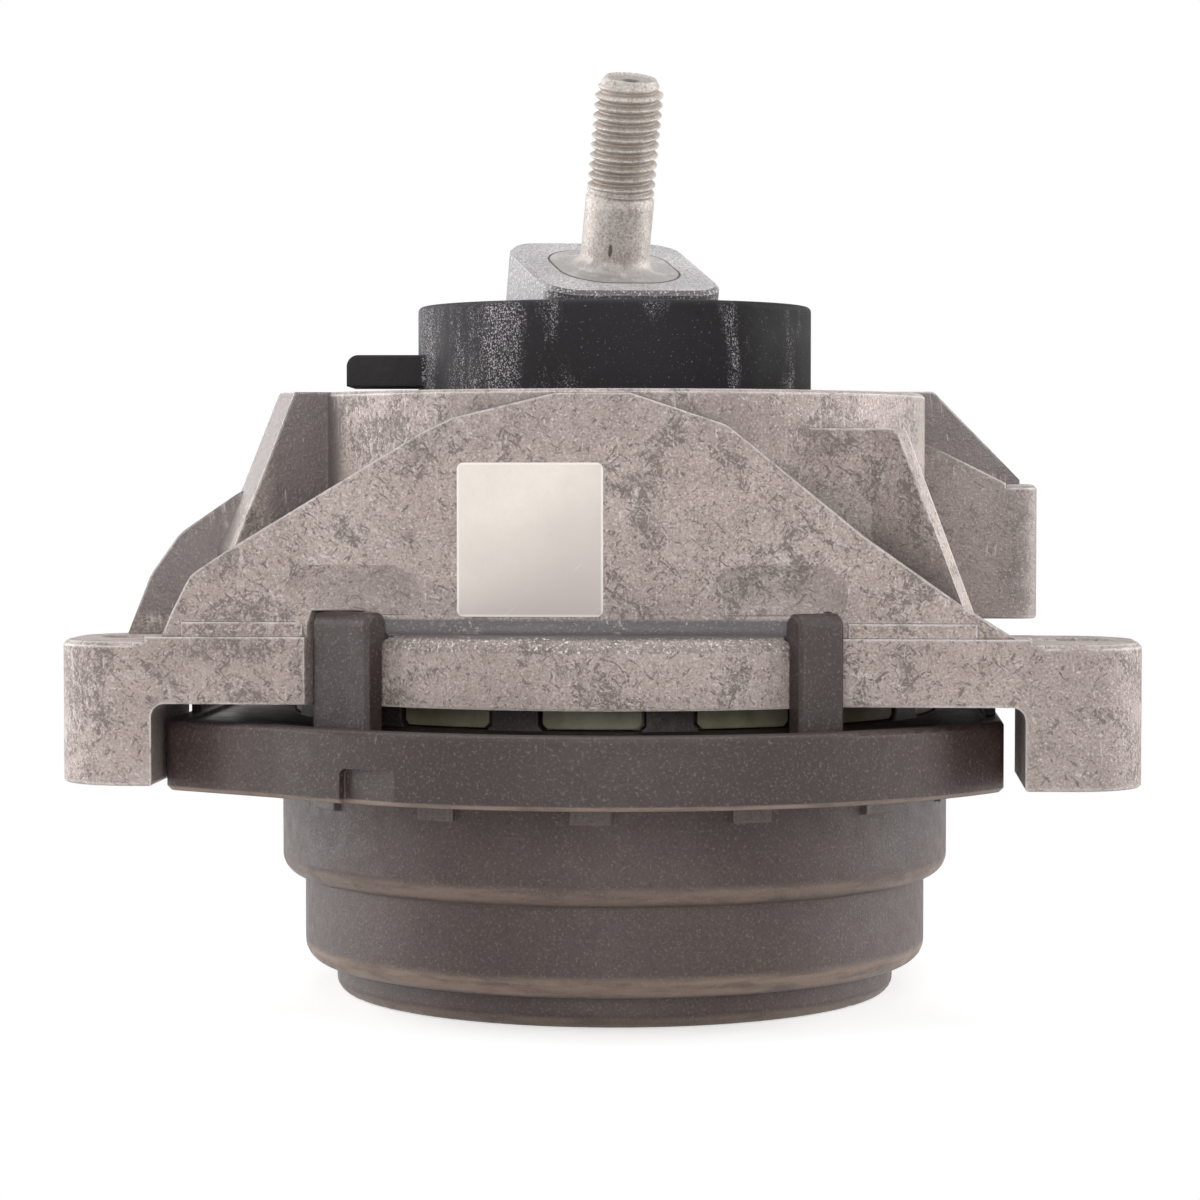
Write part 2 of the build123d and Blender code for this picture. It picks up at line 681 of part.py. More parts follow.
def make_lower_channel_plate():
    plate = disc(plate_radius, lower_plate_bottom, plate_split)
    for i in range(window_count):
        plate += notched_sector(plate_radius - 2, lug_reach, lug_bottom, plate_split - 0.2,
                                front_angle(i * 360 / window_count), lug_half_angle)
    channel = sector(channel_inner, channel_outer, channel_floor, plate_split + 1, 0, channel_wrap_angle / 2)
    plate -= channel
    plate -= disc(cage_radius, plate_split - cage_depth, plate_split + 1)
    plate -= cage_holes(lower_plate_bottom)
    middle = (channel_inner + channel_outer) / 2
    outlet = Rot(0, 0, channel_wrap_angle / 2 - 5) * Pos(middle, 0, lower_plate_bottom)
    return plate - outlet * Cylinder(cage_hole_radius, 2 * (channel_floor - lower_plate_bottom))


def cage_holes(level):
    """Round holes of the cage, ring by ring, as one cutting tool."""
    tool = Part()
    depth = 3 * (plate_split - lower_plate_bottom)
    for ring_radius, count in zip(cage_hole_rings, cage_hole_counts):
        for i in range(count):
            place = Rot(0, 0, i * 360 / count) * Pos(ring_radius, 0, level)
            tool += place * Cylinder(cage_hole_radius, depth)
    return tool


def make_upper_channel_plate():
    plate = disc(plate_radius, plate_split + seat_gap, rim_top)
    plate -= disc(cage_radius, plate_split - 1, plate_split + cage_depth / 2)
    plate -= cage_holes(rim_top)
    middle = (channel_inner + channel_outer) / 2
    inlet = Rot(0, 0, 5 - channel_wrap_angle / 2) * Pos(middle, 0, rim_top)
    return plate - inlet * Cylinder(cage_hole_radius, 3 * split_drop)


def make_decoupler():
    space = 1.5 * cage_depth
    height = min(membrane_thick, space - 2 * seat_gap)
    middle = plate_split - cage_depth + space / 2
    return Pos(0, 0, middle) * Cylinder(membrane_radius, height)


def make_diaphragm():
    half = diaphragm_wall / 2
    bead_top = lower_plate_bottom - seat_gap
    middle_line = [(0, bead_bottom - diaphragm_crown_drop),
                   *[(bead_inner - inward, bead_bottom - drop) for inward, drop in diaphragm_line],
                   (bead_inner - 0.4, bead_bottom - 4), (bead_inner + 0.8, bead_bottom + 1.5)]
    curve = Spline(*[(r, 0, z) for r, z in middle_line], tangents=[(1, 0, 0), (0.2, 0, 1)])
    steps = 28
    upper, lower = [], []
    for i in range(steps + 1):
        point = curve @ (i / steps)
        along = curve % (i / steps)
        upper.append((max(0, point.X - half * along.Z), point.Z + half * along.X))
        lower.append((max(0, point.X + half * along.Z), point.Z - half * along.X))
    upper[0], lower[0] = (0, middle_line[0][1] + half), (0, middle_line[0][1] - half)
    profile = make_face([
        Spline(*[(r, 0, z) for r, z in upper]),
        Line((upper[-1][0], 0, upper[-1][1]), (lower[-1][0], 0, lower[-1][1])),
        Spline(*[(r, 0, z) for r, z in lower]),
        Line((lower[0][0], 0, lower[0][1]), (upper[0][0], 0, upper[0][1]))])
    bellows = revolve(profile, Axis.Z)
    bead = turned([(bead_inner, bead_bottom), (bead_outer, bead_bottom), (bead_outer, bead_top),
                   (bead_inner, bead_top)])
    return bellows + bead


def make_diaphragm_ring():
    return disc(bead_outer, support_ledge + seat_gap, bead_bottom - seat_gap, support_inner)


def make_label():
    label = extrude(RectangleRounded(label_width, label_height, label_corner), label_thick)
    return Pos(label_x, plate_front - seat_gap, skirt_top + label_rise) * Rot(90, 0, 0) * label


parts = {
    "housing": make_housing(),
    "bottom_cover": make_bottom_cover(),
    "core": make_core(),
    "stud": make_stud(),
    "spring_ring": make_spring_ring(),
    "main_spring": make_main_spring(),
    "upper_channel_plate": make_upper_channel_plate(),
    "lower_channel_plate": make_lower_channel_plate(),
    "decoupler_disc": make_decoupler(),
    "diaphragm": make_diaphragm(),
    "diaphragm_ring": make_diaphragm_ring(),
    "label": make_label(),
}
for name, solid in parts.items():
    export_step(solid, f"parts/{name}.step")
    print(name, len(solid.solids()), round(solid.volume))
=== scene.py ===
from math import cos, pi, radians, sin

import bmesh
import bpy
from mathutils import Matrix, Vector


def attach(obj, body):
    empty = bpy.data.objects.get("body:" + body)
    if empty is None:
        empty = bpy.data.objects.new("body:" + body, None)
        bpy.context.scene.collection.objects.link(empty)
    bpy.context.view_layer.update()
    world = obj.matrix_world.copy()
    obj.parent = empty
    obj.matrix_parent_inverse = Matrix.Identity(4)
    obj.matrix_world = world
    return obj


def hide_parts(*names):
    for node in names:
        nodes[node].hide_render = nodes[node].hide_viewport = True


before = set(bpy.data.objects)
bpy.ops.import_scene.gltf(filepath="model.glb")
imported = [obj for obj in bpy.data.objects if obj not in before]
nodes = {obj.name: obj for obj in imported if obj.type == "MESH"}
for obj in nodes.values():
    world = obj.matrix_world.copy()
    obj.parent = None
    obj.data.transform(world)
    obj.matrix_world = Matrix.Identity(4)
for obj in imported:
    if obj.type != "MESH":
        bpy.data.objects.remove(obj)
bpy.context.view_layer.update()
print("frame loaded:", len(nodes), "solids")


raySamples = 4  # for the masks of edges, corners and slots


# small helpers for node trees

def newPaint(name):  # material, its tree, its shader and object coordinates
    mat = bpy.data.materials.new(name)
    mat.use_nodes = True
    tree = mat.node_tree
    shader = tree.nodes["Principled BSDF"]
    coords = tree.nodes.new("ShaderNodeTexCoord").outputs["Object"]
    return mat, tree, shader, coords


def feed(tree, socket, value):  # a link where value is a socket, else a plain number or colour
    if isinstance(value, bpy.types.NodeSocket):
        tree.links.new(value, socket)
    else:
        socket.default_value = value


def finishPaint(tree, shader, colour, rough, normal):
    for name, value in (("Base Color", colour), ("Roughness", rough), ("Normal", normal)):
        feed(tree, shader.inputs[name], value)


def noise(tree, coords, size, detail, rough, warp=0.0, stretch=None, turn=(0, 0, 0)):
    if stretch:
        coords = drawnOut(tree, coords, stretch, turn)
    node = tree.nodes.new("ShaderNodeTexNoise")
    tree.links.new(coords, node.inputs["Vector"])
    node.inputs["Scale"].default_value = 1 / size
    node.inputs["Detail"].default_value = detail
    node.inputs["Roughness"].default_value = rough
    node.inputs["Distortion"].default_value = warp
    return node.outputs["Fac"]


def drawnOut(tree, coords, scale, turn=(0, 0, 0)):  # turned first, then longer by scale along each axis
    node = tree.nodes.new("ShaderNodeMapping")
    node.vector_type = "TEXTURE"
    tree.links.new(coords, node.inputs["Vector"])
    node.inputs["Rotation"].default_value = [radians(t) for t in turn]
    node.inputs["Scale"].default_value = scale
    return node.outputs["Vector"]


def patterns(tree, coords, look, *kinds):  # the look's named patterns, one after the other
    return [noise(tree, coords, *look[kind]) for kind in kinds]


def ramp(tree, value, low, high, start=0.0, end=1.0):  # smooth step between two levels
    node = tree.nodes.new("ShaderNodeMapRange")
    node.interpolation_type = "SMOOTHSTEP"
    tree.links.new(value, node.inputs["Value"])
    node.inputs["From Min"].default_value = low
    node.inputs["From Max"].default_value = high
    node.inputs["To Min"].default_value = start
    node.inputs["To Max"].default_value = end
    return node.outputs["Result"]


def past(tree, value, border, start=0.0, end=1.0):  # border: where a change begins and how far it takes
    begin, fade = border
    return ramp(tree, value, begin, begin + fade, start, end)


def calc(tree, operation, a, b=0.0, c=0.0):
    node = tree.nodes.new("ShaderNodeMath")
    node.operation = operation
    for socket, value in zip(node.inputs, (a, b, c)):
        feed(tree, socket, value)
    return node.outputs[0]


def times(tree, value, *factors):
    for factor in factors:
        value = calc(tree, "MULTIPLY", value, factor)
    return value


def largest(tree, value, *others):
    for other in others:
        value = calc(tree, "MAXIMUM", value, other)
    return value


def scaled(tree, value, factor, start):  # start plus value times factor
    return calc(tree, "MULTIPLY_ADD", value, factor, start)


def outFrom(tree, a, b):  # distance from the middle along two axes
    return calc(tree, "SQRT", scaled(tree, a, a, times(tree, b, b)))


def vectorCalc(tree, operation, a, b=(0, 0, 0)):
    node = tree.nodes.new("ShaderNodeVectorMath")
    node.operation = operation
    feed(tree, node.inputs[0], a)
    feed(tree, node.inputs[1], b)
    return node.outputs


def axes(tree, coords):
    node = tree.nodes.new("ShaderNodeSeparateXYZ")
    tree.links.new(coords, node.inputs[0])
    return node.outputs


def blendColours(tree, amount, a, b):
    node = tree.nodes.new("ShaderNodeMix")
    node.data_type = "RGBA"
    feed(tree, node.inputs[0], amount)
    for socket, value in ((node.inputs[6], a), (node.inputs[7], b)):
        feed(tree, socket, value if isinstance(value, bpy.types.NodeSocket) else (*value, 1))
    return node.outputs[2]


def layered(tree, colour, look, masks):  # the look's layers in order, each by its mask and strength
    for mask, strength, over in look["layers"]:
        colour = blendColours(tree, times(tree, masks[mask], strength), colour, look[over])
    return colour


def relief(tree, height, look, normal=None):  # the look's depth is in metres
    node = tree.nodes.new("ShaderNodeBump")
    node.inputs["Strength"].default_value = look["bump"]
    node.inputs["Distance"].default_value = look["depth"]
    tree.links.new(height, node.inputs["Height"])
    if normal is not None:
        tree.links.new(normal, node.inputs["Normal"])
    return node.outputs["Normal"]


def openness(tree, reach):  # 1 in the open, towards 0 in a corner or slot of the same piece
    node = tree.nodes.new("ShaderNodeAmbientOcclusion")
    node.samples = raySamples
    node.only_local = True
    node.inputs["Distance"].default_value = reach
    return node.outputs["AO"]


def softEdges(tree, radius, clear=None):  # rounded normal, a mask of outer edges and one of inner corners
    bevel = tree.nodes.new("ShaderNodeBevel")
    bevel.samples = raySamples
    bevel.inputs["Radius"].default_value = radius
    rounded = bevel.outputs["Normal"]
    flat = tree.nodes.new("ShaderNodeNewGeometry").outputs["Normal"]
    turned = ramp(tree, vectorCalc(tree, "DOT_PRODUCT", rounded, flat)["Value"], 0.995, 0.86)
    if clear is None:
        return rounded, turned, None
    outer = times(tree, turned, ramp(tree, clear, 0.78, 0.93))
    return rounded, outer, times(tree, turned, ramp(tree, clear, 0.86, 0.70))


def between(tree, value, low, high, fade):  # 1 from low to high, fading out on both sides
    return times(tree, ramp(tree, value, low - fade, low), ramp(tree, value, high + fade, high))


# In every look below, a pattern is its size in metres, detail and roughness, and where it needs them
# also its warp, how far it is drawn out along each axis, and its turn in degrees. A place is where a
# change begins and how far it takes. A layer is its mask, strength and colour, laid over the base in
# the order given.

# die-cast aluminium of the housing

castLook = dict(
    # smooth is the colour of painted shade in hollows and recesses, on the tops and on the right ear
    light=(0.388, 0.322, 0.296), base=(0.284, 0.228, 0.206), stain=(0.100, 0.080, 0.071),
    # bright is the colour of painted glints and painted edge highlights
    worn=(0.66, 0.60, 0.58), bright=(0.82, 0.78, 0.77), smooth=(0.118, 0.104, 0.105),
    coveToneAndShade=(0.085, 0.080, 0.086), sparkleHighlight=(0.88, 0.84, 0.82),
    metal=0.34, roughLow=0.44, roughHigh=0.62, edge=0.0007, reach=0.012, depth=0.00024, bump=0.8,
    cloud=(0.026, 5, 0.6), patch=(0.013, 5, 0.66, 0.7), mottle=(0.0060, 7, 0.70, 0.6),
    grain=(0.00042, 2, 0.65), flake=(0.0012, 4, 0.66, 0.9), rubPatch=(0.013, 3, 0.5, 0.4),
    wear=(0.004, 4, 0.6), sparkle=(0.00055, 3, 0.75),
    streak=(0.0011, 3, 0.6, 0.0, (1, 1, 9), (0, 4, 0)),
    scratch=(0.00055, 3, 0.7, 0.0, (1, 1, 22), (5, 0, 0)),
    rub=(0.0008, 4, 0.7, 0.0, (1, 1, 14), (0, -6, 0)),
    # flow marks and painted glints: size, length, turn in degrees, rarity
    curls=((0.00074, 3.0, (0, 38, 0), 0.655), (0.00074, 2.6, (0, -52, 20), 0.655)),
    fineCurls=((0.000444, 3.4, (0, 72, -15), 0.635), (0.000444, 3.0, (0, -20, 10), 0.635)),
    glints=(0.000592, 2.6, (0, 24, 8), 0.690),
    fineStrength=0.48, curlGather=0.115, curlFade=0.034, flakeGather=0.130,
    markHeight=-0.30, grainHeight=0.40, markRough=0.12, plainRough=-0.06, plainFewer=0.7, plainCalm=0.6,
    # places
    frontWide=(0.037, -0.003), frontY=(-0.050, -0.004), scoopY=(-0.040, -0.010),
    skirtY=(-0.056, -0.004), earX=(0.066, 0.005), topLevel=(0.092, 0.007),
    backX=(-0.0425, -0.003), backY=(-0.0335, 0.002), backEnd=(0.028, -0.026),  # painted shade in the recess at the left
    backLevel=(0.0658, 0.001), rearX=(0.050, 0.002), rearY=(0.015, 0.002), webY=(0.034, 0.002),
    coveLevels=(0.0648, 0.0668, 0.0007), bandLevels=(0.0625, 0.0646, 0.0003),  # low, high, fade
    scoops=((-0.0350, 0.0700, 0.0150, 0.0055),  # x, z, half width, half height
            (0.0335, 0.0695, 0.0130, 0.0050)),
    scoopShade=0.36, rearShade=0.56, webShade=1.0,  # the web is the thin wall beside the rear ear
    layers=(
        ("mottlePale", 0.45, "light"), ("mottleDark", 0.40, "stain"), ("streak", 0.34, "light"),
        ("skirt", 0.30, "light"), ("ear", 0.20, "smooth"), ("top", 0.17, "smooth"),
        ("plainShade", 0.72, "smooth"), ("cove", 0.85, "coveToneAndShade"), ("band", 0.40, "stain"),
        ("rubbed", 0.42, "worn"), ("glints", 0.20, "bright"), ("marks", 0.66, "stain"),
        ("grainDark", 0.50, "stain"), ("grainPale", 0.52, "worn"), ("sparkle", 0.70, "sparkleHighlight"),
        ("scratch", 0.45, "worn"), ("wornEdgeAndHighlight", 0.92, "bright"), ("corner", 0.60, "stain"),
    ),
)


def castCurls(tree, coords, look, kind, gather):  # short strokes shaped like flow marks, denser where gather is high; also used for the painted glints
    size, length, turn, rarity = kind
    curl = noise(tree, coords, size, 2.0, 0.5, 1.0, (length, 1, 1), turn)
    return past(tree, scaled(tree, gather, look["curlGather"], curl), (rarity, look["curlFade"]))


def castPaint(name, look):
    mat, tree, shader, coords = newPaint(name)
    x, y, level = axes(tree, coords)
    clear = openness(tree, look["reach"])
    # corner marks inner corners, where painted shade is laid in the stain colour
    soft, edge, corner = softEdges(tree, look["edge"], clear)
    cloud, patch, mottle, grain, flake = patterns(
        tree, coords, look, "cloud", "patch", "mottle", "grain", "flake")
    streak, scratch, rub, rubPatch, wear, sparkle = patterns(
        tree, coords, look, "streak", "scratch", "rub", "rubPatch", "wear", "sparkle")

    gather = ramp(tree, patch, 0.46, 0.62)
    curls = largest(tree, *[castCurls(tree, coords, look, kind, gather) for kind in look["curls"]])
    fineCurls = largest(tree, *[castCurls(tree, coords, look, kind, gather) for kind in look["fineCurls"]])
    flake = scaled(tree, gather, look["flakeGather"], flake)
    marks = largest(tree, curls, times(tree, fineCurls, look["fineStrength"]),
                    ramp(tree, flake, 0.682, 0.716))
    # painted glints: highlights shaped like flow marks, fewer where it is plain
    glints = castCurls(tree, coords, look, look["glints"], ramp(tree, cloud, 0.40, 0.62))

    wide = past(tree, calc(tree, "ABSOLUTE", x), look["frontWide"])
    front = times(tree, past(tree, y, look["frontY"]), wide)
    # the cove between plate and flange: a darker tone together with painted shade
    cove = times(tree, between(tree, level, *look["coveLevels"]), front)
    band = times(tree, between(tree, level, *look["bandLevels"]), front)
    plainShade = largest(tree, cove, ramp(tree, clear, 0.82, 0.42))  # painted shade in hollows: darker and smooth, with few marks
    for middle, height, halfWide, halfHigh in look["scoops"]:
        across = calc(tree, "DIVIDE", calc(tree, "SUBTRACT", x, middle), halfWide)
        up = calc(tree, "DIVIDE", calc(tree, "SUBTRACT", level, height), halfHigh)
        spot = times(tree, ramp(tree, outFrom(tree, across, up), 1.1, 0.4), past(tree, y, look["scoopY"]))
        plainShade = largest(tree, plainShade, times(tree, spot, look["scoopShade"]))
    # painted shade in the recess behind the plate at the left and beside the rear web
    back = times(tree, past(tree, x, look["backX"]), past(tree, y, look["backY"]),
                 past(tree, level, look["backLevel"]), past(tree, y, look["backEnd"]))
    rear = times(tree, past(tree, x, look["rearX"]), past(tree, y, look["rearY"]),
                 past(tree, y, look["webY"], look["rearShade"], look["webShade"]))
    plainShade = largest(tree, plainShade, back, rear)
    marks = times(tree, marks, scaled(tree, plainShade, -look["plainFewer"], 1.0))
    calm = scaled(tree, plainShade, -look["plainCalm"], 1.0)

    masks = dict(
        mottlePale=ramp(tree, mottle, 0.55, 0.34), mottleDark=ramp(tree, mottle, 0.54, 0.72),
        streak=ramp(tree, streak, 0.50, 0.68), skirt=past(tree, y, look["skirtY"]),
        # ear and top: painted shade on the right ear and on the housing's tops
        ear=past(tree, x, look["earX"]), top=past(tree, level, look["topLevel"]),
        plainShade=plainShade, cove=cove, band=band, marks=marks, corner=corner,
        rubbed=times(tree, ramp(tree, rub, 0.50, 0.66), ramp(tree, rubPatch, 0.52, 0.62)),
        glints=times(tree, glints, scaled(tree, plainShade, -1.0, 1.0)),
        grainDark=times(tree, ramp(tree, grain, 0.48, 0.28), calm),
        grainPale=times(tree, ramp(tree, grain, 0.54, 0.74), calm),
        # painted glitter of highlights along the machined band
        sparkle=times(tree, band, ramp(tree, sparkle, 0.56, 0.68)),
        scratch=ramp(tree, scratch, 0.665, 0.72),
        # outer edges: worn metal and a painted edge highlight
        wornEdgeAndHighlight=times(tree, edge, ramp(tree, wear, 0.28, 0.46)),
    )
    colour = blendColours(tree, ramp(tree, cloud, 0.32, 0.68), look["base"], look["light"])
    rough = ramp(tree, cloud, 0.3, 0.7, look["roughLow"], look["roughHigh"])
    rough = scaled(tree, plainShade, look["plainRough"], scaled(tree, marks, look["markRough"], rough))
    height = scaled(tree, marks, look["markHeight"], scaled(tree, grain, look["grainHeight"], mottle))
    finishPaint(tree, shader, layered(tree, colour, look, masks), rough, relief(tree, height, look, soft))
    shader.inputs["Metallic"].default_value = look["metal"]
    return mat


# glass-filled plastic of the cup

cupLook = dict(
    base=(0.0415, 0.0255, 0.0225), pale=(0.0635, 0.0405, 0.0350), dustAndSheen=(0.250, 0.180, 0.138),
    keyTone=(0.170, 0.138, 0.124), dark=(0.0235, 0.0140, 0.0125), speckTone=(0.36, 0.30, 0.26),
    roughLow=0.42, roughHigh=0.58, edge=0.0005, depth=0.00012, bump=0.7, grainHeight=0.6,
    cloud=(0.024, 5, 0.62), mottle=(0.0032, 5, 0.68, 0.4), grain=(0.00046, 2, 0.7),
    speck=(0.00040, 2, 0.7), streak=(0.0016, 4, 0.65, 0.0, (7, 7, 1)),
    bands=((0.0009, 0.0011, 0.6), (0.0073, 0.0020, 1.0),  # dust and painted sheen on the fillets: level, half height, amount
           (0.0225, 0.0018, 0.6), (0.0389, 0.0004, 0.9)),
    # places
    wall=(0.0586, 0.0002), under=(0.0385, -0.0001), over=(0.0385, 0.0004), rimShadowLevel=(0.0482, 0.0012),
    middleShadeX=(0.066, -0.030),
    layers=(
        ("mottle", 0.40, "pale"), ("middle", 0.80, "dark"), ("rim", 0.55, "dark"),
        ("key", 0.40, "keyTone"), ("grainDark", 0.80, "dark"), ("grainPale", 0.62, "keyTone"),
        ("dustAndSheenBands", 0.78, "dustAndSheen"), ("speck", 0.32, "speckTone"), ("edge", 0.28, "dustAndSheen"),
    ),
)


def cupPaint(name, look):
    mat, tree, shader, coords = newPaint(name)
    x, y, level = axes(tree, coords)
    outside = past(tree, outFrom(tree, x, y), look["wall"])
    cloud, mottle, grain, speck, streak = patterns(
        tree, coords, look, "cloud", "mottle", "grain", "speck", "streak")
    soft, edge, _ = softEdges(tree, look["edge"])
    bands = [times(tree, between(tree, level, middle - half * 0.4, middle + half * 0.4, half * 0.8), amount)
             for middle, half, amount in look["bands"]]
    masks = dict(
        mottle=ramp(tree, mottle, 0.48, 0.70), edge=edge,
        # painted shade and sheen: darker in the middle, lighter towards the sides
        middle=times(tree, past(tree, calc(tree, "ABSOLUTE", x), look["middleShadeX"]),
                     past(tree, level, look["over"])),
        # painted shadow of the housing's skirt on the collar's top
        rim=times(tree, past(tree, level, look["rimShadowLevel"]), outside),
        key=times(tree, outside, past(tree, level, look["under"])),
        grainDark=ramp(tree, grain, 0.48, 0.26), grainPale=ramp(tree, grain, 0.53, 0.76),
        dustAndSheenBands=times(tree, largest(tree, *bands), ramp(tree, streak, 0.30, 0.62, 0.30, 1.0)),
        speck=ramp(tree, speck, 0.670, 0.740),
    )
    colour = blendColours(tree, ramp(tree, cloud, 0.35, 0.70), look["base"], look["pale"])
    rough = ramp(tree, mottle, 0.3, 0.7, look["roughLow"], look["roughHigh"])
    height = scaled(tree, grain, look["grainHeight"], mottle)
    finishPaint(tree, shader, layered(tree, colour, look, masks), rough, relief(tree, height, look, soft))
    return mat


# rubber with its pale bloom

rubberLook = dict(
    base=(0.011, 0.0095, 0.011), pale=(0.021, 0.018, 0.021), bloomTone=(0.42, 0.40, 0.42),
    tabTone=(0.032, 0.028, 0.031), deep=(0.004, 0.0035, 0.004),
    roughLow=0.58, roughHigh=0.75, gloss=0.22, dimGloss=0.11, edge=0.0008, depth=0.00030, bump=0.7,
    cloud=(0.016, 5, 0.6), fine=(0.0011, 3, 0.6), powder=(0.00029, 2, 0.7), stray=(0.00038, 2, 0.7),
    patch=(0.0090, 5, 0.62, 0.4, (1, 1, 3.0)), folds=(0.0026, 4, 0.6, 0.5, (1, 1, 2.2)),
    fineHeight=0.35, foldHeight=1.6, sideGather=0.17, powderGather=0.05, flatFewer=0.6,
    # places
    wall=(0.0354, -0.0004), topLevel=(0.1184, 0.0008), bloomX=(0.006, -0.034), dimX=(0.006, 0.020),
    foldX=(-0.024, -0.008),
    layers=(
        ("tab", 0.55, "tabTone"), ("rightShade", 0.60, "deep"), ("haze", 0.08, "bloomTone"),
        ("bloom", 0.95, "bloomTone"), ("strays", 0.34, "bloomTone"), ("edge", 0.05, "bloomTone"),
    ),
)


def rubberPaint(name, look):
    mat, tree, shader, coords = newPaint(name)
    x, y, level = axes(tree, coords)
    body = past(tree, outFrom(tree, x, y), look["wall"])
    flat = past(tree, level, look["topLevel"])
    side = past(tree, x, look["bloomX"])  # more bloom towards the left
    # painted shade on the right side: darker and less glossy
    rightShade = past(tree, x, look["dimX"])
    cloud, fine, patch, powder, stray, folds = patterns(
        tree, coords, look, "cloud", "fine", "patch", "powder", "stray", "folds")
    where = times(tree, ramp(tree, scaled(tree, side, look["sideGather"], patch), 0.51, 0.72), body)
    powder = scaled(tree, where, look["powderGather"], powder)
    where = times(tree, where, scaled(tree, flat, -look["flatFewer"], 1.0))
    soft, edge, _ = softEdges(tree, look["edge"])
    masks = dict(
        tab=scaled(tree, body, -1.0, 1.0), rightShade=rightShade, edge=edge,
        haze=times(tree, where, ramp(tree, fine, 0.40, 0.75)),
        bloom=times(tree, ramp(tree, powder, 0.565, 0.66), where),
        strays=times(tree, ramp(tree, stray, 0.665, 0.72), body),
    )
    colour = blendColours(tree, ramp(tree, cloud, 0.35, 0.70), look["base"], look["pale"])
    rough = ramp(tree, cloud, 0.3, 0.7, look["roughLow"], look["roughHigh"])
    height = scaled(tree, folds, past(tree, x, look["foldX"], 0.0, look["foldHeight"]),
                    scaled(tree, fine, look["fineHeight"], cloud))  # wrinkled skin at the left
    finishPaint(tree, shader, layered(tree, colour, look, masks), rough, relief(tree, height, look, soft))
    gloss = scaled(tree, rightShade, look["dimGloss"] - look["gloss"], look["gloss"])
    tree.links.new(gloss, shader.inputs["Specular IOR Level"])
    return mat


# bright metals: core, stud, hidden ring and plate

fineScratch = (0.0005, 3, 0.7, 0.0, (1, 1, 20), (12, 24, 0))  # the same on all of them
metalGrainHeight = 0.45


def metalLayers(sparkle):  # what every bright metal has over its base
    # edge lightens outer edges as wear and painted edge highlight; slotShade is painted shade in slots and
    # corners
    return (("grainDark", sparkle, "dark"), ("grainPale", sparkle, "worn"), ("scratch", 0.35, "worn"),
            ("edge", 0.50, "worn"), ("slotShade", 0.80, "dark"))


coreLook = dict(
    base=(0.33, 0.315, 0.32), light=(0.43, 0.415, 0.42), dark=(0.12, 0.11, 0.11),
    worn=(0.74, 0.72, 0.73), shadeTone=(0.06, 0.055, 0.056),
    metal=0.25, roughLow=0.42, roughHigh=0.58, edge=0.0003, reach=0.0035, depth=0.00014, bump=0.7,
    cloud=(0.012, 4, 0.6), grain=(0.00042, 2, 0.7), layers=metalLayers(0.78),
    shades=(((0.35, -0.88, -0.32), 0.92), ((-0.93, -0.36, 0.0), 0.32)),  # facing, amount
)
studLook = dict(
    base=(0.345, 0.305, 0.275), light=(0.44, 0.395, 0.360), dark=(0.15, 0.13, 0.115),
    worn=(0.66, 0.63, 0.60), rootTone=(0.265, 0.215, 0.178), flangeTone=(0.31, 0.295, 0.285),
    pitTone=(0.055, 0.048, 0.045),
    metal=0.30, roughLow=0.44, roughHigh=0.60, edge=0.0003, reach=0.0022, depth=0.00010, bump=0.7,
    cloud=(0.006, 4, 0.6), grain=(0.00042, 2, 0.7), patch=(0.0026, 5, 0.7), ragged=(0.0006, 3, 0.7),
    streak=(0.0009, 4, 0.7, 0.0, (1, 1, 5), (17.5, 6.4, 0)),  # turned to run along the stud
    endRagged=0.0012, scarRagged=0.0003, scarDrawn=((1, 1, 3.5), (17.5, 6.4, 0)),
    scar=(-0.0002, -0.0091, 0.1291), tip=(0.003567, -0.01207, 0.15855),
    axis=(0.106471, -0.300664, 0.947768), foot=0.120778,  # the core's top face lies at foot along the axis
    layers=metalLayers(0.62) + (
        ("flange", 0.85, "flangeTone"), ("patch", 0.28, "worn"), ("valley", 0.75, "rootTone"),
        ("streak", 0.45, "dark"), ("dishShade", 0.50, "dark"), ("dimpleShade", 0.90, "pitTone"),
        ("scar", 0.88, "pitTone"), ("joint", 0.85, "pitTone"),
    ),
)
ringLook = dict(
    base=(0.20, 0.19, 0.18), light=(0.29, 0.28, 0.27), dark=(0.10, 0.09, 0.085), worn=(0.50, 0.49, 0.48),
    metal=0.9, roughLow=0.35, roughHigh=0.5, edge=0.0004, reach=0.003, depth=0.00006, bump=0.7,
    cloud=(0.012, 4, 0.6), grain=(0.0005, 2, 0.7), layers=metalLayers(0.5),
)
plateLook = dict(
    base=(0.42, 0.41, 0.41), light=(0.55, 0.54, 0.54), dark=(0.26, 0.25, 0.25), worn=(0.75, 0.74, 0.74),
    metal=0.85, roughLow=0.3, roughHigh=0.45, edge=0.0004, reach=0.003, depth=0.00006, bump=0.7,
    cloud=(0.015, 4, 0.6), grain=(0.0006, 2, 0.7), layers=metalLayers(0.5),
)


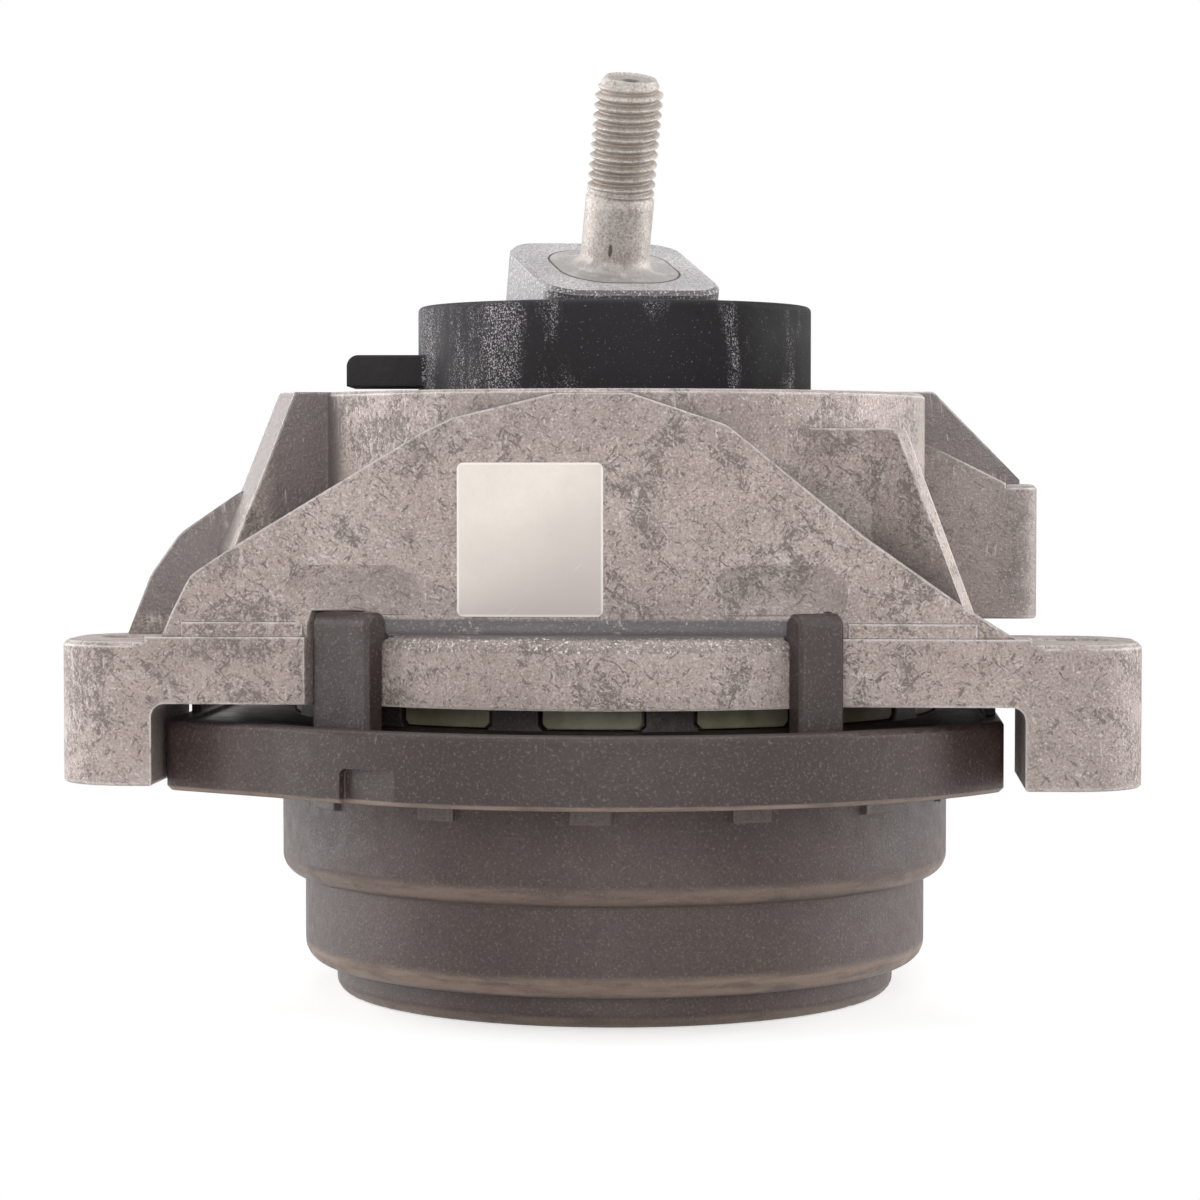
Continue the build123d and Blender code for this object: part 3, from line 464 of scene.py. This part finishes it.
def studMasks(tree, coords, look):  # what the stud alone has, from its mesh's two attributes and its axis
    def stored(name):
        attribute = tree.nodes.new("ShaderNodeAttribute")
        attribute.attribute_name = name
        return attribute.outputs["Fac"]

    along = vectorCalc(tree, "DOT_PRODUCT", coords, look["axis"])["Value"]
    along = calc(tree, "SUBTRACT", along, look["foot"])
    streak, patch, ragged = patterns(tree, coords, look, "streak", "patch", "ragged")
    end = vectorCalc(tree, "DISTANCE", coords, look["tip"])["Value"]
    end = scaled(tree, streak, look["endRagged"], end)
    offset = vectorCalc(tree, "SUBTRACT", coords, look["scar"])["Vector"]  # one dark scratch along the shank
    away = vectorCalc(tree, "LENGTH", drawnOut(tree, offset, *look["scarDrawn"]))["Value"]
    scar = scaled(tree, ragged, look["scarRagged"], away)
    return dict(
        flange=ramp(tree, along, 0.0024, 0.0006), streak=ramp(tree, streak, 0.54, 0.70),
        patch=ramp(tree, patch, 0.50, 0.62),
        valley=ramp(tree, stored("valley"), 0.30, 0.95), joint=ramp(tree, stored("joint"), 0.25, 0.75),
        # painted shade in the dish and dimple at the stud's end
        dishShade=ramp(tree, end, 0.0048, 0.0040), dimpleShade=ramp(tree, end, 0.0024, 0.0019),
        scar=ramp(tree, scar, 0.00062, 0.00044),
    )


def metalPaint(name, look, ownMasks=None):  # ownMasks makes the masks that only this metal's layers use
    mat, tree, shader, coords = newPaint(name)
    clear = openness(tree, look["reach"])
    soft, edge, _ = softEdges(tree, look["edge"], clear)
    cloud, grain = patterns(tree, coords, look, "cloud", "grain")
    scratch = noise(tree, coords, *fineScratch)
    masks = dict(
        grainDark=ramp(tree, grain, 0.49, 0.33), grainPale=ramp(tree, grain, 0.55, 0.69),
        scratch=ramp(tree, scratch, 0.64, 0.70), edge=edge, slotShade=ramp(tree, clear, 0.62, 0.25),
    )
    if ownMasks:
        masks.update(ownMasks(tree, coords, look))
    colour = blendColours(tree, ramp(tree, cloud, 0.35, 0.68), look["base"], look["light"])
    for facing, amount in look.get("shades", ()):  # sides that stand in their own shade
        normal = tree.nodes.new("ShaderNodeNewGeometry").outputs["Normal"]
        toward = vectorCalc(tree, "DOT_PRODUCT", normal, facing)["Value"]
        colour = blendColours(tree, ramp(tree, toward, 0.10, 0.50, 0.0, amount), colour, look["shadeTone"])
    rough = ramp(tree, cloud, 0.3, 0.7, look["roughLow"], look["roughHigh"])
    height = scaled(tree, grain, metalGrainHeight, cloud)
    finishPaint(tree, shader, layered(tree, colour, look, masks), rough, relief(tree, height, look, soft))
    shader.inputs["Metallic"].default_value = look["metal"]
    return mat


# pale nylon of the channel plate, and the blank label

nylonLook = dict(
    base=(0.20, 0.178, 0.112), light=(0.30, 0.275, 0.185), rough=0.45, edge=0.0004,
    depth=0.00005, bump=0.5, scatter=0.08, scatterReach=(0.001, 0.0009, 0.0006),
    cloud=(0.006, 4, 0.6), fine=(0.0006, 3, 0.7), stepLevel=(0.0524, 0.0004),
    # top and edge are painted light on the lugs' upper step and on their edges
    layers=(("top", 0.60, "light"), ("edge", 0.40, "light")),
)


def nylonPaint(name, look):
    mat, tree, shader, coords = newPaint(name)
    cloud, fine = patterns(tree, coords, look, "cloud", "fine")
    soft, edge, _ = softEdges(tree, look["edge"])
    masks = dict(top=past(tree, axes(tree, coords)[2], look["stepLevel"]), edge=edge)
    colour = blendColours(tree, ramp(tree, cloud, 0.35, 0.70), look["base"], look["light"])
    colour = layered(tree, colour, look, masks)
    finishPaint(tree, shader, colour, look["rough"], relief(tree, fine, look, soft))
    shader.inputs["Subsurface Weight"].default_value = look["scatter"]
    shader.inputs["Subsurface Radius"].default_value = look["scatterReach"]
    return mat


labelLook = dict(
    pale=(0.77, 0.70, 0.63), deep=(0.52, 0.46, 0.43), borderTone=(0.84, 0.79, 0.74), mark=(0.46, 0.42, 0.39),
    roughLow=0.32, roughHigh=0.46, depth=0.00010, bump=0.4,
    x=-0.0101, z=0.080, halfWide=0.0118, halfHigh=0.0124, border=(-0.00045, 0.00020),
    cloud=(0.010, 4, 0.6), fibre=(0.0005, 2, 0.7), dots=(0.0009, 2, 0.8),
    scuff=(0.0007, 3, 0.7, 0.0, (1, 1, 18), (0, 52, 0)),
    layers=(
        ("cloud", 0.25, "deep"), ("fibre", 0.12, "mark"), ("scuff", 0.35, "borderTone"),
        ("dots", 0.45, "mark"), ("border", 0.70, "borderTone"),
    ),
)


def labelPaint(name, look):
    mat, tree, shader, coords = newPaint(name)
    x, _, z = axes(tree, coords)
    across = calc(tree, "SUBTRACT", x, look["x"])
    up = calc(tree, "SUBTRACT", z, look["z"])
    fall = calc(tree, "SUBTRACT", times(tree, across, 0.6), up)  # painted reflection: paler top left, deeper low right
    inset = largest(tree, calc(tree, "SUBTRACT", calc(tree, "ABSOLUTE", across), look["halfWide"]),
                    calc(tree, "SUBTRACT", calc(tree, "ABSOLUTE", up), look["halfHigh"]))
    cloud, fibre, dots, scuff = patterns(tree, coords, look, "cloud", "fibre", "dots", "scuff")
    masks = dict(
        cloud=ramp(tree, cloud, 0.3, 0.7), fibre=ramp(tree, fibre, 0.5, 0.25),
        scuff=ramp(tree, scuff, 0.64, 0.72), dots=ramp(tree, dots, 0.72, 0.78),
        border=past(tree, inset, look["border"]),
    )
    shade = ramp(tree, fall, -look["halfHigh"], look["halfHigh"])
    colour = blendColours(tree, shade, look["pale"], look["deep"])
    rough = ramp(tree, cloud, 0.3, 0.7, look["roughLow"], look["roughHigh"])
    finishPaint(tree, shader, layered(tree, colour, look, masks), rough, relief(tree, cloud, look))
    return mat


rubberMade = rubberPaint("blackRubber", rubberLook)
studMade = metalPaint("zincSteel", studLook, studMasks)
finish = {
    "housing": castPaint("castAluminium", castLook),
    "bottom_cover": cupPaint("filledPlastic", cupLook),
    "main_spring": rubberMade,
    "diaphragm": rubberMade,
    "decoupler_disc": rubberMade,
    "core": metalPaint("coreAluminium", coreLook),
    "stud": studMade,
    "spring_ring": metalPaint("ringSteel", ringLook),
    "diaphragm_ring": metalPaint("ringSteelLower", ringLook),
    "upper_channel_plate": metalPaint("plateAluminium", plateLook),
    "lower_channel_plate": nylonPaint("paleNylon", nylonLook),
    "label": labelPaint("labelFilm", labelLook),
}
for name, mat in finish.items():
    for place in nodes[name].material_slots:
        place.material = mat
print("finishes made:", len(finish))


# the stud with its rolled thread, levels counted from the core's top face

stud = dict(
    centre=(0.0, -0.002, 0.1268), tilt=18.6, heading=-70.5, turn=21.5,
    radius=0.0059, root=0.0050, pitch=0.00175, length=0.0335, shank=0.0060, flare=0.0026, lift=0.00005,
    threadLength=0.0200, threadStop=0.0009, threadFade=0.0010, flankSteep=1.36, flankStart=-0.20,
    neckLength=0.0012, neck=((0.00575, 0.0009), (0.0054, 0.0002)),  # radius, how far below the thread
    lead=0.0024, leadIn=0.0015,
    end=((0.0042, 0.0), (0.0039, 0.0003), (0.0016, 0.0005),  # dish and dimple: radius, how far below the tip
         (0.0010, 0.0006), (0.0008, 0.0010), (0.0, 0.0014)),
    pressRadius=0.00555, pressLength=0.02598, pressChamfer=0.001, rim=0.0002,
    flangeSide=0.0219, flangeCorner=0.00815, flangeThick=0.00498, flangeChamfer=0.0004, jointWidth=0.0005,
    sides=72, bendSteps=8, threadSteps=190, leadSteps=14, weld=0.000002,
)


def coreMatrix(s):  # place of the core: top face centre, local Z along the stud
    spin = Matrix.Rotation(radians(s["heading"]), 4, "Z") @ Matrix.Rotation(radians(s["tilt"]), 4, "Y")
    spin = spin @ Matrix.Rotation(radians(s["turn"] - s["heading"]), 4, "Z")
    return Matrix.Translation(s["centre"]) @ spin


def studProfile(s):  # (radius, level) from the pressed end up to the dimple
    start, top = s["length"] - s["threadLength"], s["length"] - s["lead"]
    wide, foot = s["shank"] + s["flare"], s["lift"] + s["flare"]
    bends, turns, leads = s["bendSteps"], s["threadSteps"], s["leadSteps"]
    line = [(0, -s["pressLength"]), (s["pressRadius"] - s["pressChamfer"], -s["pressLength"]),
            (s["pressRadius"], s["pressChamfer"] - s["pressLength"]), (s["pressRadius"], -s["rim"]),
            (wide, s["lift"] - s["rim"]), (wide, s["lift"])]
    for i in range(1, bends + 1):  # hollow flare at the foot of the shank
        a = radians(90 * i / bends)
        line.append((s["shank"] + s["flare"] * (1 - sin(a)), s["lift"] + s["flare"] * (1 - cos(a))))
    line += [(s["shank"], foot + (start - s["neckLength"] - foot) * i / bends) for i in range(1, bends + 1)]
    line += [(radius, start - below) for radius, below in s["neck"]]
    line += [(s["radius"], start + (top - start) * i / turns) for i in range(turns + 1)]
    for i in range(1, leads + 1):
        line.append((s["radius"] - s["leadIn"] * i / leads, top + s["lead"] * i / leads))
    return line + [(radius, s["length"] - below) for radius, below in s["end"]]


def threadTree(s):  # turns a profile line into a round body and rolls a thread into it
    tree = bpy.data.node_groups.new("rolledThread", "GeometryNodeTree")
    face = tree.interface
    face.new_socket("Profile", in_out="INPUT", socket_type="NodeSocketGeometry")
    for label, kind in (("Sides", "Int"), ("Pitch", "Float"), ("Depth", "Float"), ("Thread Start", "Float"),
                        ("Thread End", "Float"), ("Finish", "Material")):
        face.new_socket(label, in_out="INPUT", socket_type="NodeSocket" + kind)
    face.new_socket("Stud", in_out="OUTPUT", socket_type="NodeSocketGeometry")
    add, link = tree.nodes.new, tree.links.new
    given, out = add("NodeGroupInput").outputs, add("NodeGroupOutput")

    def work(operation, a, b=0.0, c=0.0):
        return calc(tree, operation, a, b, c)

    def clamped(value):
        return work("MINIMUM", work("MAXIMUM", value, 0), 1)

    count = add("GeometryNodeAttributeDomainSize")
    link(given["Profile"], count.inputs["Geometry"])
    grid = add("GeometryNodeMeshGrid")  # one row for each point of the profile, one column for each side
    link(count.outputs["Point Count"], grid.inputs["Vertices X"])
    link(work("ADD", given["Sides"], 1), grid.inputs["Vertices Y"])
    place = axes(tree, add("GeometryNodeInputPosition").outputs[0])
    row = work("MULTIPLY", work("ADD", place[0], 0.5), work("SUBTRACT", count.outputs["Point Count"], 1))
    part = work("ADD", place[1], 0.5)  # part of a full turn
    sample = add("GeometryNodeSampleIndex")
    sample.data_type = "FLOAT_VECTOR"
    link(given["Profile"], sample.inputs["Geometry"])
    link(add("GeometryNodeInputPosition").outputs[0], sample.inputs["Value"])
    link(work("ROUND", row), sample.inputs["Index"])
    radius, _, level = axes(tree, sample.outputs["Value"])

    above = work("SUBTRACT", level, given["Thread Start"])
    phase = work("FRACT", work("SUBTRACT", work("DIVIDE", above, given["Pitch"]), part))
    wave = work("ABSOLUTE", work("SUBTRACT", work("MULTIPLY", phase, 2), 1))  # 0 in the root, 1 on the crest
    wave = clamped(work("MULTIPLY_ADD", wave, s["flankSteep"], s["flankStart"]))
    rise = clamped(work("DIVIDE", above, s["threadFade"]))
    fall = clamped(work("DIVIDE", work("SUBTRACT", given["Thread End"], level), s["threadFade"]))
    cut = work("MULTIPLY", work("SUBTRACT", 1, wave), work("MULTIPLY", rise, fall))
    reach = work("SUBTRACT", radius, work("MULTIPLY", cut, given["Depth"]))
    angle = work("MULTIPLY", part, 2 * pi)
    built = add("ShaderNodeCombineXYZ")
    for socket, value in zip(built.inputs, (work("MULTIPLY", reach, work("COSINE", angle)),
                                            work("MULTIPLY", reach, work("SINE", angle)), level)):
        link(value, socket)

    keep = add("GeometryNodeCaptureAttribute")  # the cut is kept as "valley", for the paint
    keep.capture_items.new("FLOAT", "cut")
    link(grid.outputs["Mesh"], keep.inputs[0])
    link(cut, keep.inputs[1])
    shape = add("GeometryNodeSetPosition")
    link(keep.outputs[0], shape.inputs["Geometry"])
    link(built.outputs[0], shape.inputs["Position"])
    store = add("GeometryNodeStoreNamedAttribute")
    store.data_type = "FLOAT"
    store.inputs["Name"].default_value = "valley"
    link(shape.outputs[0], store.inputs["Geometry"])
    link(keep.outputs[1], store.inputs["Value"])
    merge = add("GeometryNodeMergeByDistance")
    merge.inputs["Distance"].default_value = s["weld"]
    link(store.outputs[0], merge.inputs["Geometry"])
    smooth = add("GeometryNodeSetShadeSmooth")
    link(merge.outputs[0], smooth.inputs["Geometry"])
    real = add("GeometryNodeRealizeInstances")
    link(smooth.outputs[0], real.inputs[0])
    paint = add("GeometryNodeSetMaterial")
    link(real.outputs[0], paint.inputs["Geometry"])
    link(given["Finish"], paint.inputs["Material"])
    link(paint.outputs[0], out.inputs[0])
    return tree


def setInputs(modifier, values):  # inputs by their socket's identifier
    for item in modifier.node_group.interface.items_tree:
        if item.in_out == "INPUT" and item.name in values:
            modifier[item.identifier] = values[item.name]


def plainMesh(name, obj):  # the evaluated object as a plain mesh
    graph = bpy.context.evaluated_depsgraph_get()
    mesh = bpy.data.meshes.new_from_object(obj.evaluated_get(graph))
    mesh.name = name
    return mesh


def makeShaft(s):
    mesh = bpy.data.meshes.new("studLine")
    line = studProfile(s)
    mesh.from_pydata([(r, 0, z) for r, z in line], [(i, i + 1) for i in range(len(line) - 1)], [])
    obj = bpy.data.objects.new("studLine", mesh)
    bpy.context.scene.collection.objects.link(obj)
    modifier = obj.modifiers.new("thread", "NODES")
    modifier.node_group = threadTree(s)
    setInputs(modifier, {"Sides": s["sides"], "Pitch": s["pitch"], "Depth": s["radius"] - s["root"],
                         "Thread Start": s["length"] - s["threadLength"],
                         "Thread End": s["length"] - s["threadStop"], "Finish": studMade})
    shaft = plainMesh("shaft", obj)
    bpy.data.objects.remove(obj)
    return shaft


def addFlange(bm, s, joint):  # rounded square, pressed flush into the core, with a dark joint round its face
    half, corner, low, top = s["flangeSide"] / 2, s["flangeCorner"], -s["flangeThick"], s["lift"]
    steps = s["bendSteps"]
    ring = []
    for quarter in range(4):
        cx = (half - corner) * (1 if quarter in (0, 3) else -1)
        cy = (half - corner) * (1 if quarter in (0, 1) else -1)
        for i in range(steps + 1):
            a = radians(90 * quarter + 90 * i / steps)
            ring.append((cx, cy, cos(a), sin(a)))
    rows = ((corner - s["flangeChamfer"], low, 0), (corner, low + s["flangeChamfer"], 0),
            (corner, top - s["rim"], 1), (corner - s["rim"], top, 1), (corner - s["jointWidth"], top, 0))
    loops = [[bm.verts.new((cx + c * r, cy + q * r, z)) for cx, cy, c, q in ring] for r, z, _ in rows]
    for loop, (_, _, dark) in zip(loops, rows):
        for vert in loop:
            vert[joint] = dark
    for lower, upper in zip(loops, loops[1:]):
        for i in range(len(ring)):
            j = (i + 1) % len(ring)
            bm.faces.new((lower[i], lower[j], upper[j], upper[i]))
    bm.faces.new(loops[-1])
    bm.faces.new(list(reversed(loops[0])))


def makeStud(s):
    bm = bmesh.new()
    bm.from_mesh(makeShaft(s))
    addFlange(bm, s, bm.verts.layers.float.new("joint"))
    bmesh.ops.recalc_face_normals(bm, faces=bm.faces)
    mesh = bpy.data.meshes.new("threaded_stud")
    bm.to_mesh(mesh)
    bm.free()
    mesh.materials.clear()
    mesh.materials.append(studMade)
    mesh.transform(coreMatrix(s))
    piece = bpy.data.objects.new("threaded_stud", mesh)
    bpy.context.scene.collection.objects.link(piece)
    return piece


threadedStud = makeStud(stud)
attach(threadedStud, "root")
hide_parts("stud")
print("stud made:", len(threadedStud.data.polygons), "faces")


# floor, light and camera

studio = dict(
    rings=(0.12, 0.5, 1.4, 4.0), segments=64, floorColour=(0.86, 0.86, 0.86), floorRough=0.8, lift=0.47,
    world=0.32, shadow=(0.040, 0.065),  # where the floor's shadow begins to fade and how far that takes
    lamps=(  # name, place, aim, width and height, power
        ("topBox", (0.0, -0.02, 0.80), (0, 0, 0.08), (0.9, 0.7), 4.0),
        ("leftBox", (-0.70, 0.12, 0.22), (0, 0, 0.06), (0.8, 0.6), 6.9),
        ("rightBox", (0.70, 0.12, 0.22), (0, 0, 0.06), (0.8, 0.6), 5.6),
        ("frontFill", (0.10, -1.50, 0.45), (0, 0, 0.07), (1.0, 0.7), 9.0),
    ),
    lens=102.0, sensor=36.0, clipStart=0.01, eye=(0.038861, -0.598748, 0.092),
    down=2.2737, side=3.96,  # degrees that the camera looks down, and that it stands to the right
)


def seenRays(tree):  # rays that show the backdrop: straight to the camera, or by a reflection
    path = tree.nodes.new("ShaderNodeLightPath").outputs
    return largest(tree, path["Is Camera Ray"], path["Is Glossy Ray"], path["Is Transmission Ray"])


def floorPaint(s):
    mat, tree, shader, coords = newPaint("paleFloor")
    shader.inputs["Base Color"].default_value = (*s["floorColour"], 1)
    shader.inputs["Roughness"].default_value = s["floorRough"]
    shader.inputs["Specular IOR Level"].default_value = 0.0
    seen = seenRays(tree)
    glow = tree.nodes.new("ShaderNodeEmission")
    tree.links.new(times(tree, seen, s["lift"]), glow.inputs["Strength"])
    both = tree.nodes.new("ShaderNodeAddShader")
    tree.links.new(shader.outputs[0], both.inputs[0])
    tree.links.new(glow.outputs[0], both.inputs[1])
    x, y, _ = axes(tree, coords)
    white = tree.nodes.new("ShaderNodeEmission")
    mixed = tree.nodes.new("ShaderNodeMixShader")
    fade = times(tree, past(tree, outFrom(tree, x, y), s["shadow"]), seen)
    for socket, value in zip(mixed.inputs, (fade, both.outputs[0], white.outputs[0])):
        tree.links.new(value, socket)
    tree.links.new(mixed.outputs[0], tree.nodes["Material Output"].inputs["Surface"])
    return mat


def makeFloor(s):
    bm = bmesh.new()
    bmesh.ops.create_circle(bm, cap_ends=True, radius=s["rings"][0], segments=s["segments"])
    outer = [e for e in bm.edges if e.is_boundary]
    for radius in s["rings"][1:]:
        grown = bmesh.ops.extrude_edge_only(bm, edges=outer)["geom"]
        for v in grown:
            if isinstance(v, bmesh.types.BMVert):
                v.co = v.co.normalized() * radius
        outer = [g for g in grown if isinstance(g, bmesh.types.BMEdge) and g.is_boundary]
    bmesh.ops.recalc_face_normals(bm, faces=bm.faces)
    mesh = bpy.data.meshes.new("floor")
    bm.to_mesh(mesh)
    bm.free()
    mesh.materials.append(floorPaint(s))
    floor = bpy.data.objects.new("floor", mesh)
    bpy.context.scene.collection.objects.link(floor)


def makeWorld(s):
    world = bpy.data.worlds.new("studio")
    bpy.context.scene.world = world
    world.use_nodes = True
    tree = world.node_tree
    back = tree.nodes["Background"]
    back.inputs["Color"].default_value = (1, 1, 1, 1)
    tree.links.new(scaled(tree, seenRays(tree), 1 - s["world"], s["world"]), back.inputs["Strength"])


def addLamp(name, place, aim, size, power):
    data = bpy.data.lights.new(name, "AREA")
    data.shape = "RECTANGLE"
    data.size, data.size_y = size
    data.energy = power
    lamp = bpy.data.objects.new(name, data)
    lamp.location = place
    lamp.rotation_euler = (Vector(aim) - Vector(place)).to_track_quat("-Z", "Y").to_euler()
    bpy.context.scene.collection.objects.link(lamp)


def addCamera(s):  # at the photograph's viewing angle
    data = bpy.data.cameras.new("camera")
    data.lens = s["lens"]
    data.sensor_width = s["sensor"]
    data.clip_start = s["clipStart"]
    camera = bpy.data.objects.new("camera", data)
    camera.location = s["eye"]
    camera.rotation_euler = (radians(90 - s["down"]), 0, radians(s["side"]))
    bpy.context.scene.collection.objects.link(camera)
    bpy.context.scene.camera = camera


makeFloor(studio)
makeWorld(studio)
for lampRow in studio["lamps"]:
    addLamp(*lampRow)
addCamera(studio)
bpy.context.scene.view_settings.view_transform = "Standard"
print("studio ready")
